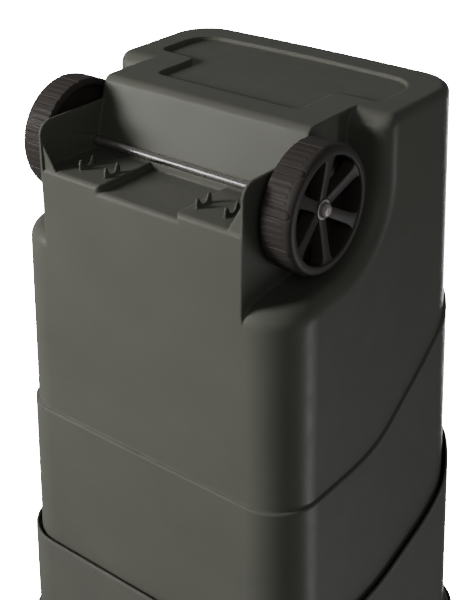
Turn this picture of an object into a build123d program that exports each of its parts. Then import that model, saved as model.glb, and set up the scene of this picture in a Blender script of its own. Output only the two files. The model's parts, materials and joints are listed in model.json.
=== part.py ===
from build123d import *
import os
from math import hypot

os.makedirs("parts", exist_ok=True)

# Two-wheeled garden waste bin with a separate upper section and a hinged lid.
# +Z is up, -Y is the front, +Y is the wheel and hinge side, X = 0 is the plane of symmetry.
# The origin is on the ground, at the centre of the whole object's footprint.

# ---------------------------------------------------------------- driving dimensions, mm

# Running gear
WHEEL_RADIUS = 89.0
WHEEL_WIDTH = 47.5
WHEEL_INNER_X = 193.0
AXLE_RADIUS = 6.35
RIM_DEPTH = 15.5
TREAD_DEPTH = 1.2
TREAD_BARS = 60
TREAD_BAR_WIDTH = 6.2
TREAD_SHOULDER = 11.0
WHEEL_WEB_BORE = 50.0
WHEEL_WEB_INSET = 10.0
WHEEL_WEB_THICKNESS = 3.0
SPOKE_DEPTH = 26.0
SPOKE_WIDTH = 17.0
HUB_RADIUS = 16.0
HUB_RECESS = 12.0
WASHER_RADIUS = 14.0
WASHER_THICKNESS = 1.6
CAP_RADIUS = 10.5
CAP_HEIGHT = 8.0
RUNNING_GAP = 0.06

# Body: drafted rounded rectangles, measured at the ground
BODY_Y = -20.8
BASE_HALF_WIDTH = 247.8
BASE_HALF_DEPTH = 219.3
DRAFT = 0.036
CORNER_RADIUS = 68.0
FRONT_BOW = 7.0
WALL = 4.0
BASE_EDGE_RADIUS = 13.0
FOOT_RADIUS = 14.0

# Heights above the ground
SHELF_Z = 99.0
ARCH_TOP_Z = 195.0
JOINT_Z = 793.0
RIM_Z = 1004.0

# Edges that run level round the back and sweep down to the front: (forward of axle, height)
LEDGE_SWEEP = ((20.0, 510.0), (164.0, 468.0), (250.0, 410.0), (323.0, 345.0), (362.0, 325.0))
COLLAR_SWEEP = ((50.0, 770.0), (175.0, 748.0), (275.0, 709.0), (325.0, 655.0), (380.0, 610.0))

# Outward steps of the outer skin
LEDGE_STEP = 5.0
LEDGE_EDGE_RADIUS = 3.0
COLLAR_STEP = 10.5
RIM_STEP = 10.0

# Wheel wells, ears and axle bay, placed from the axle
AXLE_FROM_BACK = 103.8
EAR_X = 182.0
EAR_THICKNESS = 4.0
EAR_BOTTOM_Z = 32.0
EAR_CORNER_RADIUS = 24.0
ARCH_RADIUS = 115.0
ARCH_FRONT = 122.0
ARCH_ROOF_RISE = 16.0
ARCH_EDGE_RADIUS = 25.0
BAY_SLOPE = 34.0
TROUGH_HALF_WIDTH = 70.0
RECESS_DEPTH = 6.0
TROUGH_DEPTH = 9.0
CLIP_X = (-131.0, -83.0, 83.0, 131.0)
CLIP_THICKNESS = 3.0
SHELF_EDGE_RADIUS = 7.0
PAD_THICKNESS = 3.0
WEB_THICKNESS = 3.0

# Upper section
SLEEVE_FIT = 0.3
SLEEVE_GRIP = 9.0
COLLAR_EDGE_RADIUS = 3.5
RIM_HEIGHT = 14.0
BRACKET_RADIUS = 19.0

# Lid, hinge and handle
CROWN_INSET = 62.0
GRIP_HALF_WIDTH = 75.0
GRIP_REACH = 22.0
PIN_HEAD_RADIUS = 9.0
PIN_HEAD_THICKNESS = 4.0
LID_GAP = 3.0
LID_WALL = 3.5
LID_SKIRT = 12.0
LID_SHOULDER_Z = RIM_Z + 11.0
LID_TOP_Z = RIM_Z + 47.0
HINGE_BACK = 45.0
HINGE_PIN_RADIUS = 5.0
HANDLE_RADIUS = 13.0
BRACKET_X = 168.0
BRACKET_THICKNESS = 14.0
KNUCKLE_WIDTH = 24.0
KNUCKLE_RADIUS = 14.0

# ---------------------------------------------------------------- worked out

LOWER_GROW = LEDGE_STEP
UPPER_GROW = LEDGE_STEP + COLLAR_STEP
RIM_GROW = UPPER_GROW + RIM_STEP
LID_GROW = RIM_GROW + LID_GAP + LID_WALL
SIDES = {"left": -1, "right": 1}


def half_width(height, grow=0.0):
    return BASE_HALF_WIDTH + DRAFT * height + grow


def half_depth(height, grow=0.0):
    return BASE_HALF_DEPTH + DRAFT * height + grow


AXLE_Y = BODY_Y + half_depth(0) - AXLE_FROM_BACK
AXLE_Z = WHEEL_RADIUS
HINGE_Y = BODY_Y + half_depth(RIM_Z, LID_GROW) + HINGE_BACK
HINGE_Z = RIM_Z


def body_section(height, grow=0.0, bow=FRONT_BOW):
    """Plan of the bin's outer skin at a height, moved outward by grow."""
    hw, hd = half_width(height, grow), half_depth(height, grow)
    with BuildSketch(Plane((0, BODY_Y, height))) as section:
        with BuildLine():
            Polyline((-hw, bow - hd), (-hw, hd), (hw, hd), (hw, bow - hd))
            ThreePointArc((hw, bow - hd), (0, -hd), (-hw, bow - hd))
        make_face()
        fillet(section.vertices(), CORNER_RADIUS + grow)
    return section.sketch


def skin(bottom, top, grow=0.0):
    """Solid bounded by the outer skin between two heights."""
    with BuildPart() as block:
        loft(sections=[body_section(bottom, grow), body_section(top, grow)])
    return block.part


def facing_front(y):
    """Upright plane across the bin at a depth, seen from the front."""
    return Plane((0, y, 0), x_dir=(1, 0, 0), z_dir=(0, -1, 0))


def slab(outline, start, stop):
    """Solid made from an outline in the YZ plane, between two X positions."""
    with BuildPart() as block:
        extrude(outline, amount=stop - start)
    return block.part.moved(Location((start, 0, 0)))


def well(side, grow=0.0):
    """Space of one wheel well: flat front, quarter arc, roof rising gently to the back."""
    front, top, back = AXLE_Y - ARCH_FRONT - grow, ARCH_TOP_Z + grow, AXLE_Y + 160
    radius = ARCH_RADIUS + grow
    with BuildSketch(Plane.YZ) as outline:
        with BuildLine():
            Line((front, -20), (front, top - radius))
            TangentArc((front, top - radius), (front + radius, top), tangent=(0, 1))
            Polyline((front + radius, top), (back, top + ARCH_ROOF_RISE), (back, -20),
                     (front, -20))
        make_face()
    inner, outer = EAR_X - grow, 400
    if side < 0:
        return slab(outline.sketch, -outer, -inner)
    return slab(outline.sketch, inner, outer)


def axle_bay(grow=0.0):
    """Space between the ears: flat shelf above the axle, wall sloping forward to the base."""
    shelf, back = SHELF_Z + grow, AXLE_Y + 160
    wall_top, wall_foot = AXLE_Y - grow, AXLE_Y - BAY_SLOPE - grow
    with BuildSketch(Plane.YZ) as outline:
        with BuildLine():
            Polyline((wall_foot, 0), (wall_top, shelf), (back, shelf), (back, -20),
                     (wall_foot, -20), close=True)
        make_face()
        fillet(outline.vertices().sort_by_distance((0, wall_top, shelf))[0], 8 + grow)
    reach = EAR_X - EAR_THICKNESS + grow
    return slab(outline.sketch, -reach, reach)


def swept_skin(sweep, top, grow, lift=0.0):
    """Solid inside the outer skin, above an edge that falls from the back to the front."""
    curve = [(AXLE_Y - forward, height + lift) for forward, height in sweep]
    back, front = curve[0], curve[-1]
    with BuildPart() as block:
        with BuildSketch(Plane.YZ):
            with BuildLine():
                Polyline(back, (400, back[1]), (400, top + 50), (-400, top + 50),
                         (-400, front[1]), front)
                Spline(*reversed(curve), tangents=((1, 0), (1, 0)))
            make_face()
        extrude(amount=400, both=True)
        add(skin(front[1] - 40, top, grow), mode=Mode.INTERSECT)
    return block.part


def lower_skin(bottom=0.0, top=JOINT_Z, grow=0.0, lift=0.0):
    """Lower body's outer solid: the plain taper and, above the sweeping ledge, the wider one."""
    with BuildPart() as block:
        add(skin(bottom, top, grow))
        add(swept_skin(LEDGE_SWEEP, top, grow + LEDGE_STEP, lift))
    return block.part


# ---------------------------------------------------------------- lower body

WALL_AT_EAR = AXLE_Y - BAY_SLOPE * (1 - EAR_BOTTOM_Z / SHELF_Z)
EAR_CORNER_Z = EAR_BOTTOM_Z + EAR_CORNER_RADIUS
EAR_BACK = BODY_Y + half_depth(EAR_CORNER_Z) + 1
SHELF_BACK = BODY_Y + half_depth(SHELF_Z)


def floor_recess(grow=0.0):
    """Shallow panel pressed up into the floor, narrowed between the wheel wells."""
    wide, narrow = 200.0 + grow, 128.0 + grow
    front, jog, back = AXLE_Y - 284 - grow, AXLE_Y - 174 + grow, AXLE_Y - 84 + grow
    with BuildPart() as panel:
        with BuildSketch() as outline:
            with BuildLine():
                Polyline((-wide, front + 8), (-wide, jog), (-narrow, jog), (-narrow, back),
                         (narrow, back), (narrow, jog), (wide, jog), (wide, front + 8))
                ThreePointArc((wide, front + 8), (0, front), (-wide, front + 8))
            make_face()
            fillet(outline.vertices().group_by(Axis.Y)[0], 46 + grow)
            fillet(outline.vertices().filter_by(lambda v: abs(v.Y - jog) < 1), 14)
            fillet(outline.vertices().group_by(Axis.Y)[-1], 12)
        extrude(amount=RECESS_DEPTH + grow)
    return panel.part


def shelf_trough(grow=0.0):
    """Shallow channel across the middle of the shelf, open to the back."""
    low, high = SHELF_Z - 10, SHELF_Z + TROUGH_DEPTH + grow
    with BuildPart() as channel:
        with BuildSketch(facing_front(AXLE_Y - 2 * grow)):
            with Locations((0, (low + high) / 2)):
                Rectangle(2 * (TROUGH_HALF_WIDTH + grow), high - low)
        extrude(amount=-200)
    return channel.part


def ear_trim():
    """Space under the ears, which end above the ground in a rounded back corner."""
    below, behind = -20, EAR_BACK + 60
    foot = AXLE_Y - BAY_SLOPE
    with BuildSketch(Plane.YZ) as outline:
        with BuildLine():
            TangentArc((EAR_BACK - EAR_CORNER_RADIUS, EAR_BOTTOM_Z), (EAR_BACK, EAR_CORNER_Z),
                       tangent=(1, 0))
            Polyline((EAR_BACK, EAR_CORNER_Z), (behind, EAR_CORNER_Z), (behind, below),
                     (foot, below), (foot, 0), (WALL_AT_EAR, EAR_BOTTOM_Z),
                     (EAR_BACK - EAR_CORNER_RADIUS, EAR_BOTTOM_Z))
        make_face()
    return slab(outline.sketch, -400, 400)


def outside_plain_skin(point):
    """How far a point stands outside the plain tapered skin."""
    x = abs(point.X) - half_width(point.Z) + CORNER_RADIUS
    y = abs(point.Y - BODY_Y) - half_depth(point.Z) + CORNER_RADIUS
    if x > 0 and y > 0:
        return hypot(x, y) - CORNER_RADIUS
    return max(x, y) - CORNER_RADIUS


def along(sweep, grow):
    """Test for the outer edges that run round the bin on a sweep, grow outside the taper."""
    def on_sweep(edge):
        low, high = edge.bounding_box().min.Z, edge.bounding_box().max.Z
        in_band = sweep[-1][1] - 2 < low and high < sweep[0][1] + 2
        return in_band and outside_plain_skin(edge.position_at(0.5)) > grow - 3
    return on_sweep


def is_well_rim(edge):
    """True for the edges where a wheel well opens through the side and the back corner."""
    middle = edge.position_at(0.5)
    on_side = abs(middle.X) > EAR_X + 8 and middle.Y > AXLE_Y - ARCH_FRONT - 5
    return on_side and 5 < middle.Z < ARCH_TOP_Z + 6 and edge.geom_type == GeomType.BSPLINE


def is_bay_foot(edge):
    """True for the floor edge at the foot of the axle bay's wall."""
    return abs(edge.center().X) < 5 and edge.center().Y > 0


def is_outer_floor_edge(edge):
    """True for the floor edges round the front and the sides, up to the wheel wells."""
    wall = AXLE_Y - ARCH_FRONT
    on_side = abs(edge.center().X) > EAR_X + 50 and edge.center().Y < wall - 1
    return on_side or edge.center().Y < wall - 20


def round_edges(block, wall=0.0):
    """Soften a solid's floor edges and wheel well rims, less the wall on an inner solid."""
    for pick, radius in ((is_bay_foot, FOOT_RADIUS), (is_outer_floor_edge, BASE_EDGE_RADIUS)):
        floor = block.faces().filter_by(Axis.Z).sort_by(Axis.Z)[0]
        fillet(floor.edges().filter_by(pick), radius - wall)
    fillet(block.edges().filter_by(is_well_rim), ARCH_EDGE_RADIUS - wall)


with BuildPart() as cavity:
    add(lower_skin(WALL, JOINT_Z + 10, -WALL, WALL + 1))
    for side in SIDES.values():
        add(well(side, WALL), mode=Mode.SUBTRACT)
    add(axle_bay(WALL), mode=Mode.SUBTRACT)
    round_edges(cavity, WALL)
    add(floor_recess(WALL), mode=Mode.SUBTRACT)
    add(shelf_trough(WALL), mode=Mode.SUBTRACT)

with BuildPart() as lower_body:
    add(lower_skin())
    for side in SIDES.values():
        add(well(side), mode=Mode.SUBTRACT)
    add(axle_bay(), mode=Mode.SUBTRACT)
    add(ear_trim(), mode=Mode.SUBTRACT)

    round_edges(lower_body)
    fillet(lower_body.edges().filter_by(along(LEDGE_SWEEP, LEDGE_STEP)), LEDGE_EDGE_RADIUS)
    add(floor_recess(), mode=Mode.SUBTRACT)
    add(shelf_trough(), mode=Mode.SUBTRACT)
    shelf_rim = lower_body.edges().filter_by(
        lambda e: SHELF_Z - 1 < e.center().Z < SHELF_Z + TROUGH_DEPTH + 1
        and e.position_at(0.5).Y > SHELF_BACK - 3 and abs(e.position_at(0.5).X) < EAR_X - 5)
    fillet(shelf_rim, SHELF_EDGE_RADIUS)
    add(cavity.part, mode=Mode.SUBTRACT)

    # Triangular pads on the inner faces of the ears, and webs that brace the ears
    pad_front, pad_back = AXLE_Y - 12, AXLE_Y + 67
    for side in SIDES.values():
        with BuildSketch(Plane.YZ.offset(side * (EAR_X - EAR_THICKNESS - PAD_THICKNESS / 2))):
            with BuildLine():
                Polyline((pad_front, SHELF_Z), (pad_front, 78), (pad_front + 16, 78),
                         (pad_back, 56), (pad_back, SHELF_Z), close=True)
            make_face()
        extrude(amount=PAD_THICKNESS / 2, both=True)
        with BuildSketch(facing_front(SHELF_BACK - 6)):
            with BuildLine():
                root = -side * (EAR_X - 1)
                Polyline((root, SHELF_Z + 2), (root + side * 27, SHELF_Z + 2),
                         (root + side * 4, 62), (root, 62), close=True)
            make_face()
        extrude(amount=-WEB_THICKNESS)

    # Snap clips that grip a spare or packed axle against the shelf
    for x in CLIP_X:
        with BuildSketch(Plane.YZ.offset(x - CLIP_THICKNESS / 2)):
            with BuildLine():
                Polyline((AXLE_Y + 57.5, 92), (AXLE_Y + 57, 89), (AXLE_Y + 53, 84),
                         (AXLE_Y + 50, 90), (AXLE_Y + 50, SHELF_Z + 1),
                         (AXLE_Y + 80, SHELF_Z + 1), (AXLE_Y + 80, 90), (AXLE_Y + 77, 84),
                         (AXLE_Y + 73, 89), (AXLE_Y + 72.5, 92))
                ThreePointArc((AXLE_Y + 72.5, 92), (AXLE_Y + 65, 96.5), (AXLE_Y + 57.5, 92))
            make_face()
        extrude(amount=CLIP_THICKNESS)

    # Axle holes through both ears
    with Locations(Location((0, AXLE_Y, AXLE_Z), (0, 90, 0))):
        Cylinder(AXLE_RADIUS + RUNNING_GAP, 2 * EAR_X + 20, mode=Mode.SUBTRACT)

lower_body.part.label = "lower_body"
export_step(lower_body.part, "parts/lower_body.step")


# ---------------------------------------------------------------- upper section

UPPER_BACK = BODY_Y + half_depth(RIM_Z, UPPER_GROW)
SLEEVE_BOTTOM_Z = COLLAR_SWEEP[-1][1] - 10
SKIRT_Z = RIM_Z - LID_SKIRT
LID_BACK = BODY_Y + half_depth(LID_SHOULDER_Z, LID_GROW)


def across(y, z, x=0.0):
    """Placement of a cylinder whose axis runs across the bin."""
    return Location((x, y, z), (0, 90, 0))


with BuildPart() as upper_section:
    add(swept_skin(COLLAR_SWEEP, RIM_Z, UPPER_GROW))
    fillet(upper_section.edges().filter_by(along(COLLAR_SWEEP, UPPER_GROW)), COLLAR_EDGE_RADIUS)
    add(skin(RIM_Z - RIM_HEIGHT, RIM_Z, RIM_GROW))

    # Arms that carry the handle and the hinge pins, run into the back wall
    for side in SIDES.values():
        with BuildSketch(Plane.YZ.offset(side * (BRACKET_X + BRACKET_THICKNESS / 2))):
            with BuildLine():
                top, arm_top, foot = HINGE_Z + BRACKET_RADIUS, SKIRT_Z - 5, SKIRT_Z - 48
                front, tangent = LID_BACK + 7, BRACKET_RADIUS * 0.7071
                Polyline((HINGE_Y, top), (front, top), (front, arm_top),
                         (UPPER_BACK - 6, arm_top), (UPPER_BACK - 6, foot),
                         (UPPER_BACK + 2, foot), (HINGE_Y + tangent, HINGE_Z - tangent))
                ThreePointArc((HINGE_Y + tangent, HINGE_Z - tangent),
                              (HINGE_Y + BRACKET_RADIUS, HINGE_Z), (HINGE_Y, top))
            make_face()
        extrude(amount=BRACKET_THICKNESS / 2, both=True)

    add(skin(JOINT_Z, RIM_Z + 30, UPPER_GROW - 2 * WALL), mode=Mode.SUBTRACT)
    add(skin(SLEEVE_BOTTOM_Z, JOINT_Z, LOWER_GROW + SLEEVE_FIT), mode=Mode.SUBTRACT)
    add(skin(SLEEVE_BOTTOM_Z, JOINT_Z - SLEEVE_GRIP, UPPER_GROW - WALL), mode=Mode.SUBTRACT)
    with Locations(across(HINGE_Y, HINGE_Z)):
        Cylinder(HINGE_PIN_RADIUS, 2 * BRACKET_X + 60, mode=Mode.SUBTRACT)

upper_section.part.label = "upper_section"
export_step(upper_section.part, "parts/upper_section.step")

# ---------------------------------------------------------------- rear handle and hinge pins

BAR_HALF_LENGTH = BRACKET_X
PIN_START = BRACKET_X - 22
PIN_END = BRACKET_X + BRACKET_THICKNESS + KNUCKLE_WIDTH + 2.5

with BuildPart() as rear_handle:
    with Locations(across(HINGE_Y, HINGE_Z)):
        Cylinder(HANDLE_RADIUS, 2 * BAR_HALF_LENGTH)
        Cylinder(HANDLE_RADIUS + 1.5, 2 * BAR_HALF_LENGTH - 100)
    fillet(rear_handle.edges().filter_by(GeomType.CIRCLE)
           .filter_by(lambda e: e.radius > HANDLE_RADIUS + 1), 1.2)
    with Locations(across(HINGE_Y, HINGE_Z)):
        Cylinder(HANDLE_RADIUS - 3.5, 2 * PIN_START, mode=Mode.SUBTRACT)
        Cylinder(HINGE_PIN_RADIUS, 2 * BAR_HALF_LENGTH + 10, mode=Mode.SUBTRACT)
rear_handle.part.label = "rear_handle"
export_step(rear_handle.part, "parts/rear_handle.step")

for name, side in SIDES.items():
    pin_middle = side * (PIN_START + PIN_END) / 2
    with BuildPart() as lid_hinge_pin:
        with Locations(across(HINGE_Y, HINGE_Z, pin_middle)):
            Cylinder(HINGE_PIN_RADIUS, PIN_END - PIN_START)
        with Locations(across(HINGE_Y, HINGE_Z, side * (PIN_END + PIN_HEAD_THICKNESS / 2))):
            Cylinder(PIN_HEAD_RADIUS, PIN_HEAD_THICKNESS)
        ends = lid_hinge_pin.faces().sort_by(Axis.X)
        fillet(ends[-1 if side > 0 else 0].edges(), 1.5)
        chamfer(ends[0 if side > 0 else -1].edges(), 1)
    lid_hinge_pin.part.label = f"lid_hinge_pin_{name}"
    export_step(lid_hinge_pin.part, f"parts/lid_hinge_pin_{name}.step")

# ---------------------------------------------------------------- lid

LID_FRONT = BODY_Y - half_depth(LID_SHOULDER_Z, LID_GROW)
KNUCKLE_X = BRACKET_X + BRACKET_THICKNESS + 1.2 + KNUCKLE_WIDTH / 2

with BuildPart() as lid:
    loft(sections=[body_section(SKIRT_Z, LID_GROW), body_section(LID_SHOULDER_Z, LID_GROW)])
    loft(sections=[body_section(LID_SHOULDER_Z, LID_GROW),
                   body_section(LID_TOP_Z, LID_GROW - CROWN_INSET)])
    crown_edges = lid.faces().filter_by(Axis.Z).sort_by(Axis.Z)[-1].edges()
    fillet(crown_edges, 20)
    shoulder = lid.edges().filter_by(
        lambda e: abs(e.center().Z - LID_SHOULDER_Z) < 0.5 and e.bounding_box().size.Z < 0.5)
    fillet(shoulder, 10)

    # Grip lip at the front, hollow below like the rest of the lid
    with BuildSketch(Plane((0, LID_FRONT, SKIRT_Z))) as lip:
        Rectangle(2 * GRIP_HALF_WIDTH, 2 * GRIP_REACH)
        fillet(lip.vertices().group_by(Axis.Y)[0], 16)
    extrude(amount=LID_SHOULDER_Z - SKIRT_Z - 6)
    lip_top = lid.faces().filter_by(Axis.Z).filter_by(
        lambda f: f.center().Y < LID_FRONT and f.center().Z > SKIRT_Z + 5)
    fillet(lip_top.edges().filter_by(lambda e: e.center().Y < LID_FRONT - 3), 5)

    loft(sections=[body_section(SKIRT_Z, LID_GROW - LID_WALL),
                   body_section(LID_SHOULDER_Z - 1, LID_GROW - LID_WALL)], mode=Mode.SUBTRACT)
    loft(sections=[body_section(LID_SHOULDER_Z - 1, LID_GROW - LID_WALL),
                   body_section(LID_TOP_Z - LID_WALL, LID_GROW - CROWN_INSET - LID_WALL - 5)],
         mode=Mode.SUBTRACT)

    # Hinge straps and knuckles
    for side in SIDES.values():
        with BuildSketch(Plane.YZ.offset(side * KNUCKLE_X)):
            with BuildLine():
                slope = KNUCKLE_RADIUS * 0.7071
                Polyline((HINGE_Y + slope, HINGE_Z + slope), (LID_BACK + 4, LID_SHOULDER_Z + 14),
                         (LID_BACK - 6, LID_SHOULDER_Z + 14), (LID_BACK - 2, SKIRT_Z),
                         (HINGE_Y - slope, HINGE_Z - slope))
                ThreePointArc((HINGE_Y - slope, HINGE_Z - slope),
                              (HINGE_Y + slope, HINGE_Z - slope),
                              (HINGE_Y + slope, HINGE_Z + slope))
            make_face()
        extrude(amount=KNUCKLE_WIDTH / 2, both=True)
    with Locations(across(HINGE_Y, HINGE_Z)):
        Cylinder(HINGE_PIN_RADIUS + RUNNING_GAP, 2 * KNUCKLE_X + 2 * KNUCKLE_WIDTH,
                 mode=Mode.SUBTRACT)
lid.part.label = "lid"
export_step(lid.part, "parts/lid.step")

# ---------------------------------------------------------------- running gear

WHEEL_OUTER_X = WHEEL_INNER_X + WHEEL_WIDTH
HUB_FACE_X = WHEEL_OUTER_X - HUB_RECESS
HUB_INNER_X = EAR_X + 1.5
AXLE_END_X = HUB_FACE_X + 7

with BuildPart() as axle:
    with Locations(across(AXLE_Y, AXLE_Z)):
        Cylinder(AXLE_RADIUS, 2 * AXLE_END_X)
    chamfer(axle.edges().filter_by(GeomType.CIRCLE), 1)
axle.part.label = "axle"
export_step(axle.part, "parts/axle.step")


def wheel_plane(x):
    """Plane across the axle at a distance from the bin's middle, seen from outside on +X."""
    return Plane((x, AXLE_Y, AXLE_Z), x_dir=(0, 1, 0), z_dir=(1, 0, 0))


def make_wheel():
    """The right wheel: rim with tread bars, ring-shaped web, six dished spokes and a long hub."""
    spoke_length = WHEEL_RADIUS - RIM_DEPTH + 1
    with BuildPart() as wheel:
        # Rim, revolved about the axle
        with BuildSketch(Plane((0, AXLE_Y, AXLE_Z), x_dir=(1, 0, 0), z_dir=(0, -1, 0))) as rim:
            with BuildLine():
                inner, outer = WHEEL_RADIUS - RIM_DEPTH, WHEEL_RADIUS - TREAD_DEPTH
                Polyline((WHEEL_INNER_X, inner), (WHEEL_INNER_X, outer), (WHEEL_OUTER_X, outer),
                         (WHEEL_OUTER_X, inner), close=True)
            make_face()
            fillet(rim.vertices().group_by(Axis.Y)[-1], 6)
        revolve(axis=Axis((0, AXLE_Y, AXLE_Z), (1, 0, 0)))

        # Tread bars across the rim
        with BuildSketch(wheel_plane(WHEEL_INNER_X + 2)):
            with PolarLocations((WHEEL_RADIUS + outer - 2) / 2, TREAD_BARS):
                Rectangle(WHEEL_RADIUS - outer + 2, TREAD_BAR_WIDTH)
        extrude(amount=WHEEL_WIDTH - 2 - TREAD_SHOULDER)
        with BuildSketch(wheel_plane(WHEEL_INNER_X)):
            Circle(WHEEL_RADIUS + 20)
            Circle(WHEEL_RADIUS, mode=Mode.SUBTRACT)
        extrude(amount=WHEEL_WIDTH, mode=Mode.SUBTRACT)

        # Ring-shaped web that stiffens the rim on its inboard half
        with BuildSketch(wheel_plane(WHEEL_INNER_X + WHEEL_WEB_INSET)):
            Circle(inner + 1)
            Circle(WHEEL_WEB_BORE, mode=Mode.SUBTRACT)
        extrude(amount=WHEEL_WEB_THICKNESS)

        # Spokes, trimmed to a cone so that the hub face is set in
        with BuildSketch(wheel_plane(WHEEL_OUTER_X - SPOKE_DEPTH)):
            for angle in range(30, 390, 60):
                with Locations(Location((0, 0, 0), (0, 0, angle))):
                    with Locations((spoke_length / 2, 0)):
                        Rectangle(spoke_length, SPOKE_WIDTH)
        extrude(amount=SPOKE_DEPTH - 1)
        with BuildSketch(wheel_plane(HUB_INNER_X)):
            Circle(HUB_RADIUS)
        extrude(amount=HUB_FACE_X - HUB_INNER_X)
        with BuildSketch(Plane((0, AXLE_Y, AXLE_Z), x_dir=(1, 0, 0), z_dir=(0, -1, 0))):
            with BuildLine():
                Polyline((HUB_FACE_X, 0), (HUB_FACE_X, HUB_RADIUS), (WHEEL_OUTER_X - 1, inner),
                         (WHEEL_OUTER_X + 9, inner), (WHEEL_OUTER_X + 9, 0), close=True)
            make_face()
        revolve(axis=Axis((0, AXLE_Y, AXLE_Z), (1, 0, 0)), mode=Mode.SUBTRACT)
        with Locations(across(AXLE_Y, AXLE_Z)):
            Cylinder(AXLE_RADIUS + RUNNING_GAP, 600, mode=Mode.SUBTRACT)
    return wheel.part


def make_washer():
    """Flat washer between the hub face and the push cap."""
    with BuildPart() as washer:
        with BuildSketch(wheel_plane(HUB_FACE_X + 0.3)):
            Circle(WASHER_RADIUS)
            Circle(AXLE_RADIUS, mode=Mode.SUBTRACT)
        extrude(amount=WASHER_THICKNESS)
        fillet(washer.edges().group_by(Axis.X)[-1].sort_by(SortBy.RADIUS)[-1], 0.8)
    return washer.part


def make_cap():
    """Domed push cap, pressed over the end of the axle."""
    foot = HUB_FACE_X + 0.3 + WASHER_THICKNESS
    with BuildPart() as cap:
        with BuildSketch(wheel_plane(foot)):
            Circle(CAP_RADIUS)
        extrude(amount=CAP_HEIGHT)
        fillet(cap.edges().group_by(Axis.X)[-1], CAP_HEIGHT - 1.5)
        with BuildSketch(wheel_plane(foot)):
            Circle(AXLE_RADIUS)
        extrude(amount=AXLE_END_X - foot, mode=Mode.SUBTRACT)
    return cap.part


for family, piece in (("wheel", make_wheel()), ("axle_washer", make_washer()),
                      ("axle_cap", make_cap())):
    for name, side in SIDES.items():
        copy = piece if side > 0 else mirror(piece, about=Plane.YZ)
        copy.label = f"{family}_{name}"
        export_step(copy, f"parts/{family}_{name}.step")
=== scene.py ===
import json
import math

import bmesh
import bpy
import numpy as np
from mathutils import Matrix, Vector


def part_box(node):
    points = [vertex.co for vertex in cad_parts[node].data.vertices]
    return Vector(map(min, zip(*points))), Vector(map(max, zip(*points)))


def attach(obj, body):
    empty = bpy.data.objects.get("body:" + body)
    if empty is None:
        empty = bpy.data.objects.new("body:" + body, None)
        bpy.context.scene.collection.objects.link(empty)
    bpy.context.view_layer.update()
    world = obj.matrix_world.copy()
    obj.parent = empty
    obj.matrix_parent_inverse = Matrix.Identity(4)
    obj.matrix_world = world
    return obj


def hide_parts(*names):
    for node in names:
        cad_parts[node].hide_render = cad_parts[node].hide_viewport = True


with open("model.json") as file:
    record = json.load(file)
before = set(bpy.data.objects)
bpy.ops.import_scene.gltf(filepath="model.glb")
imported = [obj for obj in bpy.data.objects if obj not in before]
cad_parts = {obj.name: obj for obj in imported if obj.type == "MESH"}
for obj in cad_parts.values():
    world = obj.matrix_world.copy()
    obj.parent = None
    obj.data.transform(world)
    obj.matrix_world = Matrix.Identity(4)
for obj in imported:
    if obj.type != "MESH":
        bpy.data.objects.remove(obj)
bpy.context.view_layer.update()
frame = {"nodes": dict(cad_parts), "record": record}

# ---------------------------------------------------------------- places taken from the frame

JOINTS = {joint["name"]: joint for joint in frame["record"]["behaviour"]["joints"]}
AXLE = Vector(JOINTS["axle_spin"]["pos_m"])
WHEEL_LOW, WHEEL_HIGH = (Vector(corner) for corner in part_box("wheel_right"))
BODY_LOW, BODY_HIGH = (Vector(corner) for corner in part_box("lower_body"))
MM = 0.001


# ---------------------------------------------------------------- camera

# The bin is seen upside down, from behind and below, so the camera looks up with its top to the floor.
CAMERA_FROM_AXLE = Vector((0.9898, 1.1293, -0.6282))
CAMERA_TURN = math.radians(38.63)
CAMERA_TILT = math.radians(29.24)
CAMERA_ROLL = math.radians(0.65)
FOCAL_LENGTH = 69.73
SENSOR = 36.0
CAMERA_CLIP = (0.05, 50.0)


def make_camera():
    data = bpy.data.cameras.new("camera")
    data.sensor_fit = "AUTO"
    data.sensor_width = SENSOR
    data.lens = FOCAL_LENGTH
    data.clip_start, data.clip_end = CAMERA_CLIP
    camera = bpy.data.objects.new("camera", data)
    bpy.context.scene.collection.objects.link(camera)
    level = Vector((-math.sin(CAMERA_TURN), -math.cos(CAMERA_TURN), 0))
    up = Vector((0, 0, 1))
    forward = math.cos(CAMERA_TILT) * level + math.sin(CAMERA_TILT) * up
    down = -math.sin(CAMERA_TILT) * level + math.cos(CAMERA_TILT) * up
    right = down.cross(forward)
    turned_right = math.cos(CAMERA_ROLL) * right + math.sin(CAMERA_ROLL) * down
    turned_down = -math.sin(CAMERA_ROLL) * right + math.cos(CAMERA_ROLL) * down
    axes = Matrix((turned_right, -turned_down, -forward)).transposed()
    camera.matrix_world = Matrix.Translation(AXLE + CAMERA_FROM_AXLE) @ axes.to_4x4()
    bpy.context.scene.camera = camera


make_camera()


# ---------------------------------------------------------------- node helpers

# Noise textures stay mostly between these two values, so colours and roughnesses are spread over them
NOISE_LOW, NOISE_HIGH = 0.3, 0.7
BEVEL_SAMPLES = 6


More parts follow.
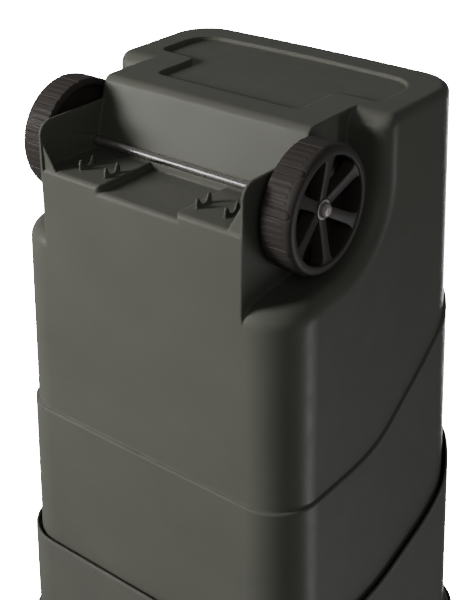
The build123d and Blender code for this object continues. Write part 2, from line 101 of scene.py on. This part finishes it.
class Nodes:
    """Short calls for building a material's node tree."""

    def __init__(self, name):
        self.material = bpy.data.materials.new(name)
        self.material.use_nodes = True
        self.tree = self.material.node_tree
        self.shader = self.tree.nodes["Principled BSDF"]
        self.output = self.tree.nodes["Material Output"]
        self.place = self.add("ShaderNodeTexCoord").outputs["Object"]

    def add(self, kind, **settings):
        node = self.tree.nodes.new(kind)
        for key, value in settings.items():
            setattr(node, key, value)
        return node

    def link(self, source, target):
        self.tree.links.new(source, target)

    def noise(self, scale, detail, roughness=0.5, stretch=None):
        node = self.add("ShaderNodeTexNoise")
        node.inputs["Scale"].default_value = scale
        node.inputs["Detail"].default_value = detail
        node.inputs["Roughness"].default_value = roughness
        source = self.place
        if stretch:
            mapping = self.add("ShaderNodeMapping")
            mapping.inputs["Scale"].default_value = stretch
            self.link(source, mapping.inputs["Vector"])
            source = mapping.outputs["Vector"]
        self.link(source, node.inputs["Vector"])
        return node.outputs["Fac"]

    def blend_colours(self, source, dark, light):
        node = self.add("ShaderNodeValToRGB")
        stops = zip(node.color_ramp.elements, (NOISE_LOW, NOISE_HIGH), (dark, light))
        for element, position, colour in stops:
            element.position = position
            element.color = (*colour, 1.0)
        self.link(source, node.inputs["Fac"])
        return node.outputs["Color"]

    def spread(self, source, low, high):
        node = self.add("ShaderNodeMapRange")
        node.inputs["From Min"].default_value = NOISE_LOW
        node.inputs["From Max"].default_value = NOISE_HIGH
        node.inputs["To Min"].default_value = low
        node.inputs["To Max"].default_value = high
        self.link(source, node.inputs["Value"])
        return node.outputs["Result"]

    def bump(self, source, height, strength, below=None):
        node = self.add("ShaderNodeBump")
        node.inputs["Distance"].default_value = height
        node.inputs["Strength"].default_value = strength
        self.link(source, node.inputs["Height"])
        if below is not None:
            self.link(below, node.inputs["Normal"])
        return node.outputs["Normal"]

    def soft_edges(self, radius):
        node = self.add("ShaderNodeBevel", samples=BEVEL_SAMPLES)
        node.inputs["Radius"].default_value = radius
        return node.outputs["Normal"]

    def set(self, **values):
        for name, value in values.items():
            self.shader.inputs[name.replace("_", " ")].default_value = value

    def drive(self, name, source):
        self.link(source, self.shader.inputs[name])


def shade(colour, factor):
    return tuple(channel * factor for channel in colour)


# ---------------------------------------------------------------- materials

BIN_COLOUR = (0.062, 0.0625, 0.053)
WHEEL_COLOUR = (0.026, 0.0225, 0.0205)
STEEL_DARK, STEEL_LIGHT = (0.80, 0.76, 0.75), (0.92, 0.88, 0.87)
ZINC_DARK, ZINC_LIGHT = (0.40, 0.365, 0.36), (0.52, 0.48, 0.47)
HANDLE_SHADE = 0.8
PIN_SHADE = 0.65
MOTTLE = 0.05
ROUGHNESS_SPREAD = 0.04
PLASTIC_IOR = 1.49
WAVE_HEIGHT = 0.0012


def moulded_plastic(name, colour, roughness=0.42, grain=0.00006, edge=0.006):
    """Satin moulded plastic: faint cloudy colour, spark-eroded grain and slight flow unevenness."""
    n = Nodes(name)
    cloud = n.noise(scale=9.0, detail=3.0)
    n.drive("Base Color", n.blend_colours(cloud, shade(colour, 1 - MOTTLE), shade(colour, 1 + MOTTLE)))
    sheen = n.noise(scale=35.0, detail=5.0)
    n.drive("Roughness", n.spread(sheen, roughness - ROUGHNESS_SPREAD, roughness + ROUGHNESS_SPREAD))
    flow = n.noise(scale=3.5, detail=2.0)
    wave = n.bump(flow, WAVE_HEIGHT, strength=0.35, below=n.soft_edges(edge))
    sparks = n.noise(scale=1900.0, detail=2.0, roughness=0.6)
    n.drive("Normal", n.bump(sparks, grain, strength=0.8, below=wave))
    n.set(IOR=PLASTIC_IOR)
    return n.material


def drawn_steel():
    """Bright drawn rod: fine rings from turning, a little warm, with faint handling marks."""
    n = Nodes("drawn_steel")
    rings = n.noise(scale=60.0, detail=6.0, roughness=0.7, stretch=(30.0, 1.0, 1.0))
    n.drive("Base Color", n.blend_colours(rings, STEEL_DARK, STEEL_LIGHT))
    marks = n.noise(scale=90.0, detail=4.0)
    n.drive("Roughness", n.spread(marks, low=0.24, high=0.36))
    n.drive("Normal", n.bump(rings, height=0.00003, strength=0.5))
    n.set(Metallic=1.0)
    return n.material


def zinc():
    """Dull zinc plate on a pressed cap, with a fine crystalline mottle."""
    n = Nodes("zinc_plate")
    grain = n.noise(scale=420.0, detail=5.0, roughness=0.6)
    n.drive("Base Color", n.blend_colours(grain, ZINC_DARK, ZINC_LIGHT))
    n.drive("Roughness", n.spread(grain, low=0.38, high=0.52))
    n.drive("Normal", n.bump(grain, height=0.00004, strength=0.6))
    n.set(Metallic=0.85)
    return n.material


BIN_PLASTIC = moulded_plastic("bin_plastic", BIN_COLOUR)
HANDLE_PLASTIC = moulded_plastic("handle_plastic", shade(BIN_COLOUR, HANDLE_SHADE),
                                 roughness=0.46, grain=0.00009)
PIN_PLASTIC = moulded_plastic("pin_plastic", shade(BIN_COLOUR, PIN_SHADE))
WHEEL_PLASTIC = moulded_plastic("wheel_plastic", WHEEL_COLOUR, roughness=0.45, grain=0.00008, edge=0.0006)
STEEL = drawn_steel()
ZINC = zinc()


def finish_with(obj, material):
    obj.data.materials.clear()
    obj.data.materials.append(material)


FINISHES = {
    "lower_body": BIN_PLASTIC, "upper_section": BIN_PLASTIC, "lid": BIN_PLASTIC,
    "rear_handle": HANDLE_PLASTIC, "lid_hinge_pin_left": PIN_PLASTIC,
    "lid_hinge_pin_right": PIN_PLASTIC, "axle": STEEL, "axle_washer_left": ZINC,
    "axle_washer_right": ZINC, "axle_cap_left": ZINC, "axle_cap_right": ZINC,
    "wheel_left": WHEEL_PLASTIC, "wheel_right": WHEEL_PLASTIC,
}
for node, material in FINISHES.items():
    finish_with(frame["nodes"][node], material)


# ---------------------------------------------------------------- wheels

TAU = 2 * math.pi
WHEEL_RADIUS = (WHEEL_HIGH.z - WHEEL_LOW.z) / 2
WHEEL_OUTER = WHEEL_HIGH.x
WHEEL_WIDTH = 47.5 * MM
WHEEL_INNER = WHEEL_OUTER - WHEEL_WIDTH
AXLE_BORE = 6.41 * MM
HUB_RADIUS = 16 * MM
HUB_INNER = WHEEL_LOW.x
HUB_RECESS = 12 * MM
HUB_FACE = WHEEL_OUTER - HUB_RECESS
RIM_DEPTH = 15.5 * MM
BARREL_RADIUS = WHEEL_RADIUS - RIM_DEPTH
WEB_BORE = 40 * MM
WEB_INSET = 10 * MM
WEB_THICKNESS = 3 * MM
WEB_GRIP = 4 * MM
CROWN_DROP = 0.75 * MM
CROWN_RADIUS = WHEEL_RADIUS - CROWN_DROP
SHOULDER_LENGTH = 10 * MM
SHOULDER_REACH = 9.4 * MM
SHOULDER_DROP = 6.6 * MM
SHOULDER_POINTS = 14
TREAD_START = 3 * MM
TREAD_ROW = 0.8 * MM

TREAD_STEPS = 720
HUB_STEPS = 96
WEB_STEPS = 192
TREAD_CLEARANCE = 0.02 * MM
INBOARD_FADE = 1.5 * MM
RIBS = 60
RIB_HEIGHT = 0.55 * MM
RIB_END = 12 * MM
RIB_FADE = 2 * MM
RIB_FLANK = (0.30, 0.62)
LUGS = 10
LUG_PHASE = math.radians(-15)
LUG_HEIGHT = 0.7 * MM
LUG_HALF_WIDTH = 5.5 * MM
LUG_END = 4.5 * MM
LUG_FLANK = (-0.9 * MM, 0.1 * MM)
GROOVE_WIDTH = 1.8 * MM
GROOVE_DEPTH = 0.7 * MM
GROOVE_FLANK = 0.6 * MM
SPOKES = 6
SPOKE_PHASE = math.radians(30)
SPOKE_DEPTH = 18 * MM
SPOKE_INSET = 2 * MM
SPOKE_EDGE = 1.2 * MM
SPOKE_BEVEL = 0.4 * MM
# A spoke's half width, in mm, at each radius, in mm: it flares where it meets the rim
SPOKE_STATIONS = ((9, 7.6), (15, 7.8), (24, 7.7), (45, 8.0), (60, 8.4), (67, 9.4), (71, 11.5), (74, 15.0))
SHARP_ANGLE = math.radians(38)


def smooth(low, high, value):
    """Soft step from 0 at low to 1 at high."""
    t = np.clip((value - low) / (high - low), 0, 1)
    return t * t * (3 - 2 * t)


def tread_height(x, angle):
    """Height of the tread pattern at a place on the rim's outside."""
    from_outer = WHEEL_OUTER - x
    rib = 0.5 + 0.5 * np.cos(angle * RIBS)
    rib = smooth(*RIB_FLANK, rib) * smooth(RIB_END, RIB_END + RIB_FADE, from_outer)
    pitch = TAU / LUGS
    across = ((angle - LUG_PHASE + pitch / 2) % pitch - pitch / 2) * WHEEL_RADIUS
    end_centre = LUG_END + LUG_HALF_WIDTH
    past = np.minimum(from_outer - end_centre, 0)
    edge = np.hypot(across, past) - LUG_HALF_WIDTH
    lug = 1 - smooth(*LUG_FLANK, edge)
    groove_end = smooth(GROOVE_WIDTH - GROOVE_FLANK, GROOVE_WIDTH, edge)
    groove = smooth(0, GROOVE_FLANK, edge) * (1 - groove_end)
    flat = np.where(edge < GROOVE_WIDTH, 0.0, rib)
    inboard = smooth(0, INBOARD_FADE, x - WHEEL_INNER)
    return inboard * (RIB_HEIGHT * flat + LUG_HEIGHT * lug - GROOVE_DEPTH * groove)


def revolve(profile, steps, treaded=None):
    """Vertices and faces of a closed profile of (x, radius) turned about the axle.

    The points up to the one numbered treaded also get the tread pattern.
    """
    profile = np.array(profile)
    count = len(profile)
    angles = np.linspace(0, TAU, steps, endpoint=False)
    x = np.tile(profile[:, 0], (steps, 1))
    radius = np.tile(profile[:, 1], (steps, 1))
    turn = np.repeat(angles[:, None], count, axis=1)
    if treaded is not None:
        inside = slice(0, treaded + 1)
        radius[:, inside] += tread_height(x[:, inside], turn[:, inside])
        radius = np.minimum(radius, WHEEL_RADIUS - TREAD_CLEARANCE)
    verts = np.stack((x, radius * np.cos(turn), radius * np.sin(turn)), axis=-1).reshape(-1, 3)
    faces = []
    for step in range(steps):
        here, after = step * count, (step + 1) % steps * count
        for k in range(count):
            m = (k + 1) % count
            faces.append((here + k, here + m, after + m, after + k))
    return verts, faces


def rim_profile():
    """Section of the rim and the number of its last tread point.

    It runs over the inboard edge, tread, rounded outboard shoulder, thin lip and barrel.
    """
    inner, outer, crown = WHEEL_INNER, WHEEL_OUTER, CROWN_RADIUS
    tread = [(inner, crown - 2.0 * MM), (inner + 0.5 * MM, crown - 0.8 * MM),
             (inner + 1.4 * MM, crown - 0.1 * MM)]
    shoulder_start = outer - SHOULDER_LENGTH
    for x in np.arange(inner + TREAD_START, shoulder_start, TREAD_ROW):
        tread.append((x, crown))
    shoulder = []
    for turn in np.linspace(0, math.pi / 2, SHOULDER_POINTS):
        shoulder.append((shoulder_start + SHOULDER_REACH * math.sin(turn),
                         crown - SHOULDER_DROP * (1 - math.cos(turn))))
    lip = [(outer - 0.2 * MM, BARREL_RADIUS + 7.5 * MM), (outer, BARREL_RADIUS + 6.5 * MM),
           (outer, BARREL_RADIUS + 2.5 * MM), (outer - 0.4 * MM, BARREL_RADIUS + 1.2 * MM),
           (outer - 1.6 * MM, BARREL_RADIUS + 0.3 * MM), (outer - 3 * MM, BARREL_RADIUS)]
    barrel = [(outer - 12 * MM, BARREL_RADIUS + 0.2 * MM), (inner + 2 * MM, BARREL_RADIUS + 3.5 * MM),
              (inner, BARREL_RADIUS + 5 * MM)]
    return tread + shoulder + lip + barrel, len(tread) + len(shoulder) - 1


def hub_profile():
    """Section of the hub, with its corners eased."""
    return [(HUB_INNER, AXLE_BORE), (HUB_INNER, HUB_RADIUS - 1 * MM), (HUB_INNER + 1 * MM, HUB_RADIUS),
            (HUB_FACE - 1.2 * MM, HUB_RADIUS), (HUB_FACE - 0.3 * MM, HUB_RADIUS - 0.4 * MM),
            (HUB_FACE, HUB_RADIUS - 1.3 * MM), (HUB_FACE, AXLE_BORE)]


def web_profile():
    """Section of the ring-shaped web near the wheel's inboard side, set into the barrel."""
    face = WHEEL_INNER + WEB_INSET + WEB_THICKNESS
    back = face - WEB_THICKNESS
    return [(back, WEB_BORE), (back, BARREL_RADIUS + WEB_GRIP), (face, BARREL_RADIUS + WEB_GRIP),
            (face, WEB_BORE + 1 * MM), (face - 0.6 * MM, WEB_BORE)]


def spoke_mesh():
    """One spoke along +Y, with a flat outer face that rises from the hub to the rim and rounded edges."""
    verts, faces = [], []
    for radius, half in SPOKE_STATIONS:
        radius, half = radius * MM, half * MM
        rise = np.clip((radius - HUB_RADIUS) / (BARREL_RADIUS - HUB_RADIUS), 0, 1)
        top = HUB_FACE + (WHEEL_OUTER - SPOKE_INSET - HUB_FACE) * rise
        base = top - SPOKE_DEPTH
        ring = ((-half, base), (-half, top - SPOKE_EDGE), (-half + SPOKE_BEVEL, top - SPOKE_BEVEL),
                (-half + SPOKE_EDGE, top), (half - SPOKE_EDGE, top),
                (half - SPOKE_BEVEL, top - SPOKE_BEVEL), (half, top - SPOKE_EDGE), (half, base))
        verts += [(x, radius, z) for z, x in ring]
    size = len(ring)
    for k in range(len(SPOKE_STATIONS) - 1):
        for m in range(size):
            after = (m + 1) % size
            faces.append((k * size + m, k * size + after, (k + 1) * size + after, (k + 1) * size + m))
    last = (len(SPOKE_STATIONS) - 1) * size
    faces.append(tuple(range(size - 1, -1, -1)))
    faces.append(tuple(range(last, last + size)))
    return np.array(verts), faces


def turned_spokes():
    """All spokes, spread evenly about the axle."""
    spoke, faces = spoke_mesh()
    spokes = []
    for k in range(SPOKES):
        turn = SPOKE_PHASE + k * TAU / SPOKES
        c, s = math.cos(turn), math.sin(turn)
        turned = np.stack((spoke[:, 0], c * spoke[:, 1] - s * spoke[:, 2],
                           s * spoke[:, 1] + c * spoke[:, 2]), axis=-1)
        spokes.append((turned, faces))
    return spokes


def make_wheel(name, side):
    profile, last_tread = rim_profile()
    shells = [revolve(profile, TREAD_STEPS, treaded=last_tread), revolve(hub_profile(), HUB_STEPS),
              revolve(web_profile(), WEB_STEPS)] + turned_spokes()
    verts, faces = [], []
    for shell_verts, shell_faces in shells:
        start = len(verts)
        verts += [(side * x, AXLE.y + y, AXLE.z + z) for x, y, z in shell_verts]
        faces += [tuple(start + v for v in face) for face in shell_faces]
    mesh = bpy.data.meshes.new(name)
    mesh.from_pydata(verts, [], faces)
    work = bmesh.new()
    work.from_mesh(mesh)
    bmesh.ops.recalc_face_normals(work, faces=work.faces)
    work.to_mesh(mesh)
    work.free()
    mesh.polygons.foreach_set("use_smooth", [True] * len(mesh.polygons))
    mesh.set_sharp_from_angle(angle=SHARP_ANGLE)
    wheel = bpy.data.objects.new(name, mesh)
    bpy.context.scene.collection.objects.link(wheel)
    finish_with(wheel, WHEEL_PLASTIC)
    return wheel


for wheel_name, side in (("wheel_left", -1), ("wheel_right", 1)):
    moulded = make_wheel(wheel_name + "_moulded", side)
    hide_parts(wheel_name)
    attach(moulded, wheel_name)


# ---------------------------------------------------------------- stage

FLOOR_SIZE = 80.0
FLOOR_GAP = 0.0005
FLOOR_COLOUR = (0.82, 0.82, 0.81, 1.0)
FLOOR_GLOW = (0.97, 0.97, 0.96, 1.0)
FLOOR_GLOW_STRENGTH = 0.9
# The world lights the bin only faintly, and is far brighter where the camera looks straight at it,
# so that the background is white
WORLD_LIGHT = 0.13
WORLD_SEEN = 60.0
MIDDLE = (BODY_LOW + BODY_HIGH) / 2
KEY = AXLE + Vector((-2.5, 2.6, -1.15))


def make_floor():
    """Pale floor just under the wheels.

    It shows from above only, because the photo looks up from below. It leaves the bin's light alone,
    and glows a little so that it stays pale.
    """
    mesh = bpy.data.meshes.new("floor")
    half = FLOOR_SIZE / 2
    mesh.from_pydata([(-half, -half, 0), (half, -half, 0), (half, half, 0), (-half, half, 0)],
                     [], [(0, 1, 2, 3)])
    floor = bpy.data.objects.new("floor", mesh)
    floor.location.z = -FLOOR_GAP
    bpy.context.scene.collection.objects.link(floor)
    n = Nodes("floor")
    n.set(Base_Color=FLOOR_COLOUR, Roughness=0.7, Emission_Color=FLOOR_GLOW,
          Emission_Strength=FLOOR_GLOW_STRENGTH)
    clear = n.add("ShaderNodeBsdfTransparent")
    mix = n.add("ShaderNodeMixShader")
    n.link(n.add("ShaderNodeNewGeometry").outputs["Backfacing"], mix.inputs["Fac"])
    n.link(n.shader.outputs["BSDF"], mix.inputs[1])
    n.link(clear.outputs["BSDF"], mix.inputs[2])
    n.link(mix.outputs["Shader"], n.output.inputs["Surface"])
    finish_with(floor, n.material)
    for ray in ("shadow", "diffuse", "glossy", "transmission"):
        setattr(floor, "visible_" + ray, False)


def make_world():
    world = bpy.data.worlds.new("studio")
    world.use_nodes = True
    tree = world.node_tree
    background = tree.nodes["Background"]
    background.inputs["Color"].default_value = (1.0, 1.0, 1.0, 1.0)
    seen = tree.nodes.new("ShaderNodeLightPath")
    level = tree.nodes.new("ShaderNodeMapRange")
    level.inputs["To Min"].default_value = WORLD_LIGHT
    level.inputs["To Max"].default_value = WORLD_SEEN
    tree.links.new(seen.outputs["Is Camera Ray"], level.inputs["Value"])
    tree.links.new(level.outputs["Result"], background.inputs["Strength"])
    bpy.context.scene.world = world


def make_light(name, place, aim, size, power, glossy=True):
    data = bpy.data.lights.new(name, "AREA")
    data.shape = "RECTANGLE"
    data.size, data.size_y = size
    data.energy = power
    light = bpy.data.objects.new(name, data)
    light.location = place
    light.rotation_mode = "QUATERNION"
    light.rotation_quaternion = (Vector(aim) - Vector(place)).to_track_quat("-Z", "Y")
    light.visible_camera = False
    light.visible_glossy = glossy
    bpy.context.scene.collection.objects.link(light)


make_floor()
make_world()
# Soft boxes. The first three stand behind the bin and low, on the photo's side. The strip stands on
# the right and draws the bright band down the corner. The last two light the top and the front, which
# the photo hides.
make_light("back_low", KEY, aim=AXLE + Vector((0, 0, 0.25)), size=(1.2, 1.2), power=340, glossy=False)
make_light("back_glint", KEY, aim=AXLE, size=(1.2, 1.2), power=16)
make_light("fill_low", AXLE + Vector((2.6, 2.2, -1.7)), aim=AXLE, size=(2.0, 2.0), power=30, glossy=False)
make_light("side_strip", MIDDLE + Vector((3.3, -1.45, 1.7)), aim=MIDDLE, size=(0.45, 2.6), power=22)
make_light("overhead", MIDDLE + Vector((-0.8, -1.2, 2.8)), aim=MIDDLE, size=(2.6, 2.6), power=110)
make_light("front", MIDDLE + Vector((-0.9, -3.4, 1.2)), aim=MIDDLE, size=(2.2, 2.2), power=110)
